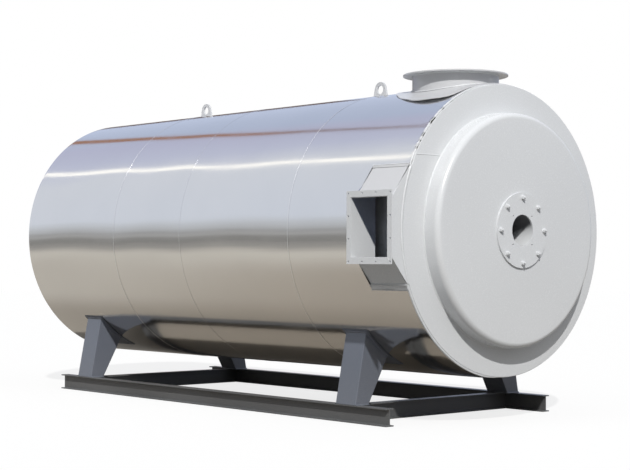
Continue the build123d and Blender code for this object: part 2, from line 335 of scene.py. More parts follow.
def satin_paint(name, light, dark, roughness, dust=0.0, dust_colour=(0.5, 0.48, 0.45)):
    """Sprayed paint: clouds of tone, fine orange peel, and dust that settles towards the ground."""
    material, look = new_tree(name)
    place = look.place()
    clouds = look.noise(place, 1.6, 0.0, 0.4)
    mottle = look.noise(place, 160.0, 2.0, 0.6)
    peel = look.noise(place, 240.0, 2.0, 0.5)
    colour = look.blend((0.70 * clouds + 0.30 * mottle).over(0.25, 0.75), dark, light)
    if dust:
        height = look.part(place, 2)
        settled = height.over(0.45, 0.1) * mottle.over(0.35, 0.7) * dust
        colour = look.blend(settled, colour, dust_colour)
    rough = roughness + 0.04 * (mottle - 0.5)
    normal = look.bump(peel, 0.00006, 0.5)
    look.surface({"Base Color": colour, "Roughness": rough, "Normal": normal})
    return material


def bore_painted_shade():
    """Paint of the burner's bore, with painted shade: darker along its upper side and deeper in."""
    material, look = new_tree("bore_painted_shade")
    place = look.place()
    inward = look.part(place, 1) - (front_y - head_depth + 0.12)
    rise = look.part(place, 2) - axis_z
    shade_noise = look.noise(place, 30.0, 3.0) - 0.5
    # Painted shade mask: above the bore's axis and deeper in.
    painted_shade = (rise + 0.35 * inward + 0.02 * shade_noise).over(-0.03, 0.015)
    colour = look.blend(painted_shade, tone(208, 210, 212), tone(82, 83, 86))
    look.surface({"Base Color": colour, "Roughness": 0.35 + 0.3 * painted_shade})
    return material


def scaled_steel(name, dark, light):
    """Rolled plate with a skin of mill scale and a few rusty breaks."""
    material, look = new_tree(name)
    place = look.place()
    clouds = look.noise(place, 7.0, 6.0, 0.6)
    specks = look.noise(place, 90.0, 4.0, 0.6)
    scale = look.blend(specks, dark, light)
    colour = look.blend(clouds.over(0.62, 0.75) * 0.25, scale, tone(112, 98, 88))
    normal = look.bump(specks, 0.0006, 0.5)
    look.surface(
        {"Base Color": colour, "Metallic": 0.25, "Roughness": 0.45 + 0.3 * clouds, "Normal": normal}
    )
    return material


def mineral_wool():
    """Matted yellow-grey insulation fibre."""
    material, look = new_tree("mineral_wool")
    place = look.place()
    fibres = look.noise(look.stretched(place, (260.0, 60.0, 260.0)), 1.0, 5.0, 0.7)
    tufts = look.noise(place, 24.0, 4.0, 0.6)
    colour = look.blend(0.5 * fibres + 0.5 * tufts, tone(112, 104, 82), tone(182, 170, 134))
    normal = look.bump(fibres + tufts, 0.004, 0.7)
    look.surface({"Base Color": colour, "Roughness": 0.9 + 0.05 * fibres, "Normal": normal})
    return material


cladding_finish = polished_cladding()
body_finish = satin_paint("light_grey_paint", tone(211, 213, 215), tone(208, 210, 212), 0.27)
# The outlet, lugs and hood top get a darker copy of the light grey paint: painted shade that holds down
# how bright the sun makes them.
darkened_copy_paint = satin_paint("outlet_darkened_copy_paint", tone(198, 199, 201), tone(193, 194, 196), 0.30)
# White underside paint: painted light that brightens the saddle's shaded underside and its reflection in
# the sheet.
underside_light_paint = satin_paint("saddle_underside_light_paint", tone(246, 248, 252), tone(243, 245, 250), 0.40)
seam_finish = worn_steel("seam_steel", (0.62, 0.62, 0.62), (0.56, 0.56, 0.56), 0.44)
bolt_finish = satin_paint("bolt_paint", tone(210, 212, 214), tone(204, 206, 208), 0.28)
throat_finish = bore_painted_shade()
leg_finish = satin_paint(
    "slate_paint", tone(104, 109, 120), tone(95, 100, 110), 0.36, 0.25, tone(128, 127, 125)
)
base_finish = satin_paint(
    "dark_base_paint", tone(94, 95, 96), tone(82, 83, 84), 0.42, 0.15, tone(112, 110, 107)
)
# The drum's scale colour is set pale: painted light for its inside, which is seen mostly in shade.
drum_lightened_finish = scaled_steel("scaled_steel", tone(216, 222, 234), tone(228, 233, 242))
# Dark plate colour for the inlet's rear wall and the nuts behind its flange: painted shade.
shade_plate_finish = scaled_steel("painted_shade_plate", tone(122, 128, 145), tone(144, 150, 165))
wool_finish = mineral_wool()


# Surfaces
def finished(piece, finish, replaced=()):
    """Give a piece its finish, and let it stand on the frame for the nodes it replaces."""
    piece.data.materials.clear()
    piece.data.materials.append(finish)
    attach(piece, "root")
    if replaced:
        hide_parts(*replaced)
    return piece


def grid_object(name, points, closed=(False, False), uv=None, keep=None, flip=False, sharp=35.0):
    """Object of one or more grids of points, shaped (copies, rows, columns, 3).

    Each quad joins four neighbours. A closed direction joins its last line to its first. The keep
    mask leaves quads out, and merged doubles close the seams and poles.
    """
    if points.ndim == 3:
        points = points[None]
    copies, rows, columns = points.shape[:3]
    index = np.arange(copies * rows * columns).reshape(copies, rows, columns)
    if closed[0]:
        index = np.concatenate([index, index[:, :1]], axis=1)
    if closed[1]:
        index = np.concatenate([index, index[:, :, :1]], axis=2)
    corners = [index[:, :-1, :-1], index[:, 1:, :-1], index[:, 1:, 1:], index[:, :-1, 1:]]
    if flip:
        corners.reverse()
    quads = np.stack(corners, axis=-1)
    kept = np.ones(quads.shape[:3], bool) if keep is None else keep[None]
    quads = quads[kept]
    mesh = bpy.data.meshes.new(name)
    mesh.vertices.add(points.size // 3)
    mesh.vertices.foreach_set("co", points.astype(np.float32).ravel())
    mesh.loops.add(quads.size)
    mesh.loops.foreach_set("vertex_index", quads.astype(np.int32).ravel())
    mesh.polygons.add(len(quads))
    mesh.polygons.foreach_set("loop_start", np.arange(0, quads.size, 4, dtype=np.int32))
    mesh.update(calc_edges=True)
    if uv is not None:
        around = [uv[:-1, :-1], uv[1:, :-1], uv[1:, 1:], uv[:-1, 1:]]
        if flip:
            around.reverse()
        flat = np.stack(around, axis=-2)[None][kept]
        mesh.uv_layers.new(name="sheet").data.foreach_set("uv", flat.astype(np.float32).ravel())
    built = bmesh.new()
    built.from_mesh(mesh)
    bmesh.ops.remove_doubles(built, verts=built.verts, dist=1e-6)
    built.to_mesh(mesh)
    built.free()
    mesh.validate()
    mesh.polygons.foreach_set("use_smooth", np.ones(len(mesh.polygons), bool))
    mesh.set_sharp_from_angle(angle=radians(sharp))
    piece = bpy.data.objects.new(name, mesh)
    bpy.context.scene.collection.objects.link(piece)
    return piece


def about_axis(radius, angle, station):
    """Points at a radius, angle and station about the furnace's axis."""
    x = axis_x + radius * np.cos(angle)
    y = front_y + station + 0 * angle
    z = axis_z + radius * np.sin(angle)
    return np.stack(np.broadcast_arrays(x, y, z), axis=-1)


def about_outlet(radius, angle, height):
    """Points at a radius and angle about the outlet's upright centre line, at a height."""
    x = axis_x + radius * np.cos(angle)
    y = front_y + outlet_station + radius * np.sin(angle)
    return np.stack(np.broadcast_arrays(x, y, height + 0 * x), axis=-1)


def rounded(corners, rounding, steps=5):
    """Polyline with each inner corner eased: a parabola from one side to the other near the corner."""
    corners = np.array(corners, float)
    ease = np.linspace(0, 1, steps)[:, None]
    line = [corners[:1]]
    for before, corner, after in zip(corners[:-2], corners[1:-1], corners[2:]):
        back = before - corner
        ahead = after - corner
        start = corner + back * min(0.5, rounding / np.linalg.norm(back))
        end = corner + ahead * min(0.5, rounding / np.linalg.norm(ahead))
        line.append((1 - ease) ** 2 * start + 2 * ease * (1 - ease) * corner + ease**2 * end)
    line.append(corners[-1:])
    return np.concatenate(line)


def turned(name, profile, segments=192):
    """Surface turned about the furnace's axis: the profile's pairs of station and radius, all round."""
    profile = np.array(profile, float)
    angle = np.linspace(0, full_turn, segments, endpoint=False)
    points = about_axis(profile[:, 1, None], angle[None], profile[:, 0, None])
    return grid_object(name, points, closed=(False, True))


def walk(corners, closed=True, step=0.0035):
    """Evenly spaced points along a polyline."""
    corners = np.array(corners, float)
    if closed:
        corners = np.concatenate([corners, corners[:1]])
    reach = np.concatenate([[0], np.cumsum(np.linalg.norm(np.diff(corners, axis=0), axis=1))])
    count = max(int(reach[-1] / step), 8)
    at = np.linspace(0, reach[-1], count, endpoint=not closed)
    return np.stack([np.interp(at, reach, corners[:, axis]) for axis in range(3)], axis=-1)


def bead(
    name, path, up, half_width, height, side=1, sweep=pi / 2, closed=True,
    finish=body_finish, slot="body_paint",
):
    """Weld bead: part of an ellipse across a path, from beside it to over it, swelling in crescents."""
    up = np.broadcast_to(np.array(up, float), path.shape)
    if closed:
        run = np.roll(path, -1, axis=0) - np.roll(path, 1, axis=0)
    else:
        run = np.gradient(path, axis=0)
    across = side * np.cross(run, up)
    across /= np.linalg.norm(across, axis=1)[:, None]
    length = np.cumsum(np.linalg.norm(np.diff(path, axis=0, prepend=path[:1]), axis=1))
    turn = np.linspace(0, sweep, 7)
    phase = length[:, None] / weld_pitch + 0.35 * np.sin(turn * pi / sweep)[None]
    crescents = 0.16 * (phase % 1.0)
    unevenness = 0.07 * np.sin(length * 41.0) + 0.06 * np.sin(length * 97.0)
    swell = 1 + crescents + unevenness[:, None]
    sideways = across[:, None] * (half_width * np.cos(turn))[None, :, None]
    upwards = up[:, None] * (height * np.sin(turn))[None, :, None]
    points = path[:, None] + (sideways + upwards) * swell[..., None]
    piece = grid_object(name, points, closed=(closed, False), flip=side < 0, sharp=80.0)
    return finished(piece, finish)


def softened(node, width, segments=2):
    """Copy of a solid with its loose triangles merged, flat ones joined, and its edges eased."""
    mesh = nodes[node].data.copy()
    mesh.name = node + "_plate"
    built = bmesh.new()
    built.from_mesh(mesh)
    bmesh.ops.remove_doubles(built, verts=built.verts, dist=1e-5)
    bmesh.ops.dissolve_limit(
        built, angle_limit=radians(0.5), verts=built.verts, edges=built.edges, delimit={"NORMAL"}
    )
    built.to_mesh(mesh)
    built.free()
    mesh.polygons.foreach_set("use_smooth", np.ones(len(mesh.polygons), bool))
    mesh.set_sharp_from_angle(angle=radians(30))
    piece = bpy.data.objects.new(mesh.name, mesh)
    bpy.context.scene.collection.objects.link(piece)
    ease = piece.modifiers.new("eased_edges", "BEVEL")
    ease.width = width
    ease.segments = segments
    ease.limit_method = "ANGLE"
    ease.angle_limit = radians(30)
    ease.harden_normals = True
    return piece


# Cladding: four rolled sheets that swell a little between their lapped seams
bulge_angle = radians(12)
bulge_spread = 0.45
panel_edges = [0.0] + seams + [body_length]
panel_bulges = (0.0015, 0.010, 0.006, 0.011)
faint_wave = 0.00018
lip_shoulder_angle = radians(139)
lip_shoulder_spread = 0.27
lip_tears = ((147.2, 0.008), (136, 0.012))
lip_gap = 0.009
lip_peak = 0.005
lip_curl = 0.0015
lip_run = 0.02
dressed_edges = (radians(112), radians(255))
dressed_spread = 0.26
dressed_fall = 0.0105
dressed_run = 0.06


def swelling(angle, station):
    """Rise of the sheets: a bell round each side's middle, dying away at the seams, and a faint wave."""
    rise = 0 * (angle + station)
    left = ((angle - (pi - bulge_angle) + pi) % full_turn - pi) / bulge_spread
    right = ((angle - bulge_angle + pi) % full_turn - pi) / bulge_spread
    bell = np.exp(-(left**2)) + np.exp(-(right**2))
    for start, end, height in zip(panel_edges[:-1], panel_edges[1:], panel_bulges):
        inside = np.clip(station - start, 0, None) * np.clip(end - station, 0, None) > 0
        wave = np.sin(pi * np.clip((station - start) / (end - start), 0, 1))
        fade = 0.5 * wave + 0.5 * wave**2
        rise = rise + np.where(inside, height * fade, 0.0) * bell
    wave = faint_wave * np.sin(angle * 7 + station * 2.3) * np.sin(station * 3.1 + 0.4)
    return rise + np.abs(wave)


def sheet_profile(start, end, front, rear):
    """Stations and heights over the cladding radius of one sheet: turned-in ends, or a joggle and lap."""
    inward = ring_radius + seat_clearance - cladding_radius
    run = np.linspace(start, end, 46)[1:-1]
    if front:
        edge = start - end_reach
        first = rounded([(edge, inward), (edge, 0), (start + end_run, 0)], edge_rounding)
    else:
        first = np.array([(start, -0.001), (start, 0.0), (start + 0.002, 0.0)])
    if rear:
        edge = end + end_reach
        last = rounded([(end - end_run, 0), (edge, 0), (edge, inward)], edge_rounding)
    else:
        lap = end + np.array([-0.004, -0.00025, -0.0002, -0.00005, 0.0, 0.001, 0.005])
        rise = 0.5 * sheet_thickness * np.array([0.0, 0.0, 0.2, 0.8, 1.0, 1.0, 1.0])
        tail = end + lap_width + np.array([-0.020, -0.004, -0.001, -0.0003, 0.0, 0.0])
        drop = 0.5 * sheet_thickness * np.array([1.0, 1.0, 1.0, 0.95, 0.7, 0.05])
        stations = np.concatenate([lap, tail])
        last = np.stack([stations, np.concatenate([rise, drop])], axis=-1)
    middle = run[(run > first[-1, 0]) & (run < last[0, 0])]
    middle = np.stack([middle, 0 * middle], axis=-1)
    return np.concatenate([first, middle, last])


def torn_lip(angle):
    """Gap and lift of the front lip round the ring: uneven runs, widest at the upper left."""
    shoulder = 0.06 + np.exp(-(((angle - lip_shoulder_angle) / lip_shoulder_spread) ** 4))
    runs = np.sin(angle * 61 + 3.0 * np.sin(angle * 17)) * np.sin(angle * 27 + 1.1)
    gap = lip_gap * shoulder * np.clip(2.8 * runs - 0.3, 0, 1)
    peaks = sum(np.exp(-(((angle - radians(place)) / spread) ** 2)) for place, spread in lip_tears)
    return gap, lip_peak * peaks + lip_curl * shoulder * np.clip(-runs, 0, 1)


def dressed(angle, station):
    """Fall of the front edge towards the ring, on the top and the far side only."""
    start, end = dressed_edges
    over_top = np.clip((start - angle) / dressed_spread, 0, 1)
    under = np.clip((angle - end) / dressed_spread, 0, 1)
    turned_away = over_top + under
    fade = np.exp(-((station / dressed_run) ** 2))
    return dressed_fall * turned_away**2 * (3 - 2 * turned_away) * fade


def in_openings(angle, station, rear):
    """True where the hood or the outlet neck passes through the sheet."""
    hood = (angle > hood_span[0]) & (angle < hood_span[1]) & (station < rear)
    away = np.hypot(cladding_radius * np.cos(angle), station - outlet_station)
    return hood | ((away < neck_radius + neck_hole_margin) & (np.sin(angle) > 0))


def cladding_sheet(name, start, end, front=False, rear=False):
    """One sheet on a grid of station and angle, with its swelling added to its profile's radius."""
    profile = sheet_profile(start, end, front, rear)
    angle = np.linspace(0, full_turn, sheet_columns + 1)
    if front:
        for cut in hood_span:
            angle[np.argmin(np.abs(angle - cut))] = cut
        hole_rear = hood_rear + seat_clearance
        profile[np.argmin(np.abs(profile[:, 0] - hole_rear)), 0] = hole_rear
    station = profile[:, 0, None]
    radius = cladding_radius + profile[:, 1, None] + swelling(angle[None, :-1], station)
    if front:
        gap, lift = torn_lip(angle[None, :-1])
        radius[:3] += gap
        radius += lift * np.exp(-station / lip_run) - dressed(angle[None, :-1], station)
    points = about_axis(radius, angle[None, :-1], station)
    uv = np.stack(np.broadcast_arrays(angle[None] * cladding_radius, station), axis=-1)
    keep = None
    if front:
        middle = (angle[:-1] + angle[1:])[None] / 2
        centre = (station[:-1] + station[1:]) / 2
        keep = ~in_openings(middle, centre, hole_rear)
    piece = grid_object(name, points, closed=(False, True), uv=uv, keep=keep, flip=True)
    return finished(piece, cladding_finish, [name.replace("_sheet", "_cladding")])


sheet_ends = seams + [body_length - ring_thickness]
sheet_starts = [ring_thickness] + seams
for order, title in enumerate(("front", "second", "third", "rear")):
    cladding_sheet(title + "_sheet", sheet_starts[order], sheet_ends[order], order == 0, order == 3)

# Rolled bead along each lap
ridge = np.linspace(0, 1, 11)
for order, (seam, (width, height)) in enumerate(zip(seams, seam_bead_sizes)):
    bead_station = seam + seam_bead_offset + width * ridge
    bead_radius = cladding_radius + seam_bead_seat + height * np.sin(pi * ridge)
    bead_line = np.stack([bead_station, bead_radius], axis=-1)
    finished(turned(f"seam_bead_{order + 1}", bead_line, fine_columns), seam_finish)

# Wool sleeve under the sheets
sleeve_radii = (cladding_radius - sleeve_gaps[0], cladding_radius - jacket_depth + sleeve_gaps[1])
sleeve_run = np.linspace(sleeve_inset, body_length - sleeve_inset, sleeve_rows)
sleeve_station = np.concatenate([sleeve_run, sleeve_run[::-1]])[:, None]
sleeve_radius = np.repeat(sleeve_radii, sleeve_rows)[:, None]
angle = np.linspace(0, full_turn, sleeve_columns + 1)
for cut in hood_span:
    angle[np.argmin(np.abs(angle - cut))] = cut
fall = dressed(angle[None, :-1], sleeve_station)
sleeve_points = about_axis(sleeve_radius - fall, angle[None, :-1], sleeve_station)
middle = (angle[:-1] + angle[1:])[None] / 2
centre = (sleeve_station + np.roll(sleeve_station, -1, axis=0)) / 2
sleeve = grid_object(
    "wool_sleeve", sleeve_points, closed=(True, True), flip=True,
    keep=~in_openings(middle, centre, hood_rear + sleeve_hood_margin),
)
quarters = [quarter + "_jacket" for quarter in ("right", "top", "left", "bottom")]
finished(sleeve, wool_finish, quarters)

# Painted trim on the front lip, broken where the torn sheet shows
angle = np.linspace(0, full_turn, trim_columns + 1)[:-1]
gap, lift = torn_lip(angle[None])
trim_line = rounded(trim_corners, trim_rounding)
trim_radius = cladding_radius + trim_seat + trim_line[:, 1:] + trim_follow * lift
trim_radius -= dressed(angle[None], trim_line[:, :1])
trim_radius[:2] += gap
centre = angle + full_turn / trim_columns / 2
in_hood = (centre > hood_span[0]) & (centre < hood_span[1])
trim = grid_object(
    "front_edge_trim", about_axis(trim_radius, angle[None], trim_line[:, :1]), closed=(False, True),
    keep=np.broadcast_to(~in_hood, (len(trim_line) - 1, len(angle))), flip=True,
)
finished(trim, body_finish)

# End rings and heads, turned, with the weld that joins them
for title, face, outwards in (("front", 0.0, -1), ("rear", body_length, 1)):
    back = face - outwards * ring_thickness
    ring_line = rounded(
        [(back, head_radius), (back, ring_radius), (face, ring_radius), (face, head_radius)],
        edge_rounding,
    )
    ring = turned(title + "_end_ring", ring_line[:: -outwards])
    finished(ring, body_finish, [title + "_ring"])

    crown = face + outwards * head_depth
    rim = crown - outwards * head_crown
    ease = np.linspace(0, pi / 2, 13)
    knuckle = np.stack(
        [
            rim - outwards * head_knuckle * (1 - np.sin(ease)),
            head_radius - head_knuckle * (1 - np.cos(ease)),
        ],
        axis=-1,
    )
    inner = tube_radius + seat_clearance if title == "front" else 0.0
    across = np.linspace(head_radius - head_knuckle, head_seat_radius, 14)[1:]
    fall = (across - head_seat_radius) / (head_radius - head_knuckle - head_seat_radius)
    dish = np.stack([crown - outwards * head_crown * fall**head_fall_power, across], axis=-1)
    skirt = [(back, head_radius), (face, head_radius), (face + outwards * head_skirt_run, head_radius)]
    middle = [(crown, inner)] + ([(crown - outwards * head_wall, inner)] if title == "front" else [])
    head_line = np.concatenate([skirt, knuckle, dish, middle])
    head = turned(title + "_end_head", head_line[:: -outwards])
    finished(head, body_finish, [title + "_head"])

    turn = np.linspace(0, full_turn, 2400, endpoint=False)
    foot = about_axis(head_radius, turn, face + 0 * turn)
    bead(title + "_head_weld", foot, (0.0, outwards, 0.0), weld_leg, weld_leg, -outwards)


# Drum and burner tube, turned
def pipe_line(low, size, wall):
    """Closed profile of a straight pipe: out along its bore and back along its outside."""
    start = low[1] - front_y
    end = start + size[1]
    outer = size[0] / 2
    inner = outer - wall
    return [(start, outer), (start, inner), (end, inner), (end, outer), (start, outer)]


shell = turned("drum_shell", pipe_line(drum_low, drum_size, drum_wall))
finished(shell, drum_lightened_finish, ["drum"])
throat = turned("burner_throat", pipe_line(tube_low, tube_size, tube_wall), 96)
finished(throat, throat_finish, ["burner_tube"])

# Outlet neck with its welds to the collar and flange
turn = np.linspace(0, full_turn, 192, endpoint=False)
neck_foot = np.sqrt((cladding_radius - jacket_depth) ** 2 - (neck_radius * np.cos(turn)) ** 2) + axis_z
neck_rows = [neck_foot, 0 * turn + outlet_top, 0 * turn + outlet_top, neck_foot, neck_foot]
neck_inner = neck_radius - neck_wall
neck_radii = np.array([neck_radius, neck_radius, neck_inner, neck_inner, neck_radius])
neck_points = about_outlet(neck_radii[:, None], turn[None], np.stack(neck_rows))
neck = grid_object("outlet_neck_tube", neck_points, closed=(False, True), flip=True)
finished(neck, darkened_copy_paint, ["outlet_neck"])
collar_radius = seat_radius + collar_sheet


def collar_points(turn, share, drop):
    """Saddle collar from the neck's circle out to a rounded outline, at a depth below its top.

    Under the neck it follows the body's curve. Past the neck it runs straighter on the inlet's side,
    so its edge springs off the sheet there. On the other side it lies on the sheet.
    """
    corners = np.array(collar_outline)
    corners = np.concatenate([corners, corners[::-1] * [-1, 1]])
    ahead = np.roll(corners, -1, axis=0) - corners
    ray = np.stack([np.cos(turn), np.sin(turn)], axis=-1)[:, None]
    crossing = ray[..., 0] * ahead[:, 1] - ray[..., 1] * ahead[:, 0]
    reach = (corners[:, 0] * ahead[:, 1] - corners[:, 1] * ahead[:, 0]) / crossing
    reach = np.where(reach > 0, reach, 9.0)
    rim = (reach**-collar_corner_power).sum(axis=-1) ** (-1 / collar_corner_power)
    radius = neck_radius + (rim - neck_radius) * share
    across = radius * np.cos(turn)
    along = radius * np.sin(turn)
    seat = np.sqrt(collar_radius**2 - across**2)
    past = np.maximum(np.abs(across) - neck_radius, 0)
    straight = np.sqrt(collar_radius**2 - neck_radius**2) - collar_wing_slope * past
    spring = np.where(across < 0, collar_spring, 0.0) * np.where(past > 0, straight - seat, 0)
    ripple = collar_ripple * share * np.sin(turn * 9 + 0.6) * np.sin(turn * 4)
    station = outlet_station + along
    settle = dressed(np.arccos(across / collar_radius), station)
    height = axis_z + seat + spring + np.where(across < 0, ripple, 0) - settle - drop
    return np.stack([axis_x + across, front_y + station, height], axis=-1)


turn = np.linspace(0, full_turn, fine_columns, endpoint=False)
reach = np.linspace(0, 1, 22)
share = np.concatenate([reach, [1.0]])[:, None]
drop = np.concatenate([0 * reach, [collar_sheet]])[:, None]
collar = grid_object("outlet_saddle", collar_points(turn, share, drop), closed=(False, True), sharp=50.0)
finished(collar, darkened_copy_paint, ["outlet_collar"])
# The saddle's underside is white: painted light for its shaded underside.
under = collar_points(turn, reach[::-1, None], collar_sheet)
finished(grid_object("saddle_underside", under, closed=(False, True)), underside_light_paint)
turn = np.linspace(0, full_turn, 1000, endpoint=False)
collar_top = axis_z + np.sqrt(collar_radius**2 - (neck_radius * np.cos(turn)) ** 2)
bead("neck_weld", about_outlet(neck_radius, turn, collar_top), (0.0, 0.0, 1.0), *neck_weld_size)
flange_foot = about_outlet(neck_radius, turn, flange_low[2])
bead("outlet_flange_weld", flange_foot, (0.0, 0.0, -1.0), weld_leg, weld_leg, -1)

# Plate work: softened copies of the solids
hood_plate = (0.0012, body_finish, "body_paint")
lug_plate = (0.002, darkened_copy_paint, "body_paint")
beam = (0.002, base_finish, "base_paint")
leg_box = (0.005, leg_finish, "leg_paint")
leg_pad = (0.002, leg_finish, "leg_paint")
plate_work = {
    "burner_plate": (0.0015, body_finish, "body_paint"),
    "outlet_flange": (0.0015, darkened_copy_paint, "body_paint"),
    "inlet_front_wall": hood_plate,
    "inlet_rear_wall": hood_plate,
    "inlet_top_plate": (0.0012, darkened_copy_paint, "body_paint"),
    "inlet_bottom_plate": hood_plate,
    "inlet_flange": hood_plate,
    "front_lifting_lug": lug_plate,
    "rear_lifting_lug": lug_plate,
    "left_rail": beam,
    "right_rail": beam,
    "front_cross_beam": beam,
    "rear_cross_beam": beam,
}
for end in ("front", "rear"):
    for side in ("left", "right"):
        plate_work[f"{end}_{side}_leg"] = leg_box
        plate_work[f"{end}_{side}_leg_pad"] = leg_pad
for node, (width, finish, slot) in plate_work.items():
    finished(softened(node, width), finish, [node])


# Nuts on studs round the burner plate
def hexagon_radius(turn, half_width):
    """Radius of a hexagon at angles about its middle: half its width over the nearest flat's cosine."""
    sixth = pi / 3
    return half_width / np.cos((turn + sixth / 2) % sixth - sixth / 2)


def ring_grids(turn, rings):
    """Heights, and the two distances across, of rings given as pairs of height and radius."""
    rise = np.stack([height + 0 * turn for height, radius in rings])
    out = np.stack([radius + 0 * turn for height, radius in rings])
    return rise, out * np.cos(turn), out * np.sin(turn)


def nut_points():
    """Hexagon nut on a washer and stud: rings whose radius is a circle's or a hexagon's, cut by cones."""
    turn = np.linspace(0, full_turn, 48, endpoint=False)
    hexagon = hexagon_radius(turn, nut_width / 2)
    rings = [
        (0.0, washer_radius), (0.8 * washer_height, washer_radius), (washer_height, 0.96 * washer_radius),
        (washer_height, hexagon), (0.92 * nut_height, hexagon),
        (nut_height, np.minimum(hexagon, 0.49 * nut_width)), (nut_height, stud_radius),
        (0.94 * stud_height, stud_radius), (stud_height, 0.85 * stud_radius), (stud_height, 0.0),
    ]
    rise, across, upright = ring_grids(turn, rings)
    return np.stack([across, -rise, upright], axis=-1)


nut_turn = np.arange(bolt_count) * full_turn / bolt_count
nut_centres = about_axis(bolt_circle_radius, nut_turn, -head_depth - plate_thickness + 0 * nut_turn)
nuts = grid_object(
    "burner_nuts", nut_points()[None] + nut_centres[:, None, None], closed=(False, True), sharp=25.0
)
finished(nuts, bolt_finish)


# Welds of the inlet hood and the front ring
def radial(angle):
    """Outward directions at angles about the axis."""
    return np.stack([np.cos(angle), 0 * angle, np.sin(angle)], axis=-1)


arc = np.linspace(hood_top_angle, hood_low_angle, 300)
rear_line = about_axis(seat_radius, arc, hood_rear + 0 * arc)
bead("hood_rear_weld", rear_line, radial(arc), weld_leg, hood_weld_height, closed=False)
ring_line = about_axis(ring_radius, arc, 0.001 + 0 * arc)
bead(
    "hood_ring_weld", ring_line, (0.0, -1.0, 0.0), hood_ring_weld_leg, hood_weld_height,
    sweep=pi, closed=False,
)
along = np.linspace(hood_front, hood_rear, 120)
lip_lines = (
    ("hood_top_weld", seat_radius, hood_top_angle - top_lip_width / cladding_radius, 0.006, 1),
    ("hood_bottom_weld", seat_radius, hood_low_angle + bottom_lip_width / cladding_radius, 0.009, -1),
    ("hood_fold_weld", seat_radius + hood_wall, hood_low_angle + hood_wall / cladding_radius, 0.008, -1),
)
for title, lip_radius, lip_angle, leg, side in lip_lines:
    lip_line = about_axis(lip_radius, lip_angle + 0 * along, along)
    bead(title, lip_line, radial(np.array(lip_angle)), leg, hood_weld_height, side, closed=False)
mouth_low_corner = mouth_low[1:] + mouth_lip
mouth_high_corner = mouth_low[1:] + mouth_size[1:] - mouth_lip
mitre = np.array([(0.0, 0.0), (1.0, 1.0)])
for order in range(4):
    sign = np.array([1 if order % 2 else -1, 1 if order > 1 else -1])
    inner_corner = np.where(sign > 0, mouth_high_corner, mouth_low_corner)
    line = inner_corner + mitre * sign * mitre_length
    corner_line = walk(np.c_[np.full(2, mouth_low[0]), line], closed=False)
    title = f"mouth_mitre_weld_{order + 1}"
    bead(title, corner_line, (-1.0, 0.0, 0.0), *mitre_weld_size, sweep=pi, closed=False)
ring_joint_ends = [(axis_x - 0.870, front_y, axis_z + 0.483), (axis_x - 0.640, front_y, axis_z + 0.485)]
ring_joint = walk(ring_joint_ends, closed=False)
bead("ring_joint_weld", ring_joint, (0.0, -1.0, 0.0), *ring_joint_size, sweep=pi, closed=False)

# Dark plate on the inlet's rear wall, cut on a slant along the sun's shadow line: painted shadow over the
# wall's shaded part
shadow_plate_outer = mouth_back + 0.004
shadow_plate_inner = axis_x - 0.9055
shadow_plate_top = mouth_high_corner[1] - 0.006
shadow_plate_corners = np.array(
    [
        (shadow_plate_outer, shadow_plate_top),
        (shadow_plate_outer, shadow_plate_top - 0.004),
        (shadow_plate_inner, axis_z - 0.112),
        (shadow_plate_inner, shadow_plate_top + 0.190),
    ]
)
shadow_plate_rows = []
for y in (inlet_low[1] - 0.002, inlet_low[1] + 0.001):
    shadow_plate_rows.append(np.c_[shadow_plate_corners[:, 0], np.full(4, y), shadow_plate_corners[:, 1]])
front_row, back_row = shadow_plate_rows
centre_row = np.tile(front_row.mean(axis=0), (4, 1))
shadow_plate_points = np.stack([centre_row, front_row, back_row])
shadow_plate = grid_object("inlet_painted_shadow_plate", shadow_plate_points, closed=(False, True), flip=True)
finished(shadow_plate, shade_plate_finish)


# Weld nuts behind the inlet's flange, in the dark plate colour so that the holes read dark: painted shade
def weld_nut_points():
    """Open hexagon nut: rings of points from the bore's front edge round the outside to its back edge."""
    turn = np.linspace(0, full_turn, 24, endpoint=False)
    hexagon = hexagon_radius(turn, weld_nut_half_width)
    front_edge = (0.0, weld_nut_bore)
    back_edge = (weld_nut_height, weld_nut_bore)
    rings = [front_edge, (0.0, hexagon), (weld_nut_height, hexagon), back_edge, front_edge]
    return np.stack(ring_grids(turn, rings), axis=-1)


hole_edge = 0.016
hole_y = np.linspace(mouth_low[1] + hole_edge, mouth_low[1] + mouth_size[1] - hole_edge, 4)
hole_z = np.linspace(mouth_low[2] + hole_edge, mouth_low[2] + mouth_size[2] - hole_edge, 4)
edge_y = (hole_y[0], hole_y[3])
edge_z = (hole_z[0], hole_z[3])
holes = [(y, z) for y in hole_y for z in hole_z if y in edge_y or z in edge_z]
nut_places = np.array([(mouth_back + 0.0002, y, z) for y, z in holes])
nut_grids = weld_nut_points()[None] + nut_places[:, None, None]
weld_nuts = grid_object("inlet_weld_nuts", nut_grids, closed=(False, True))
finished(weld_nuts, shade_plate_finish)

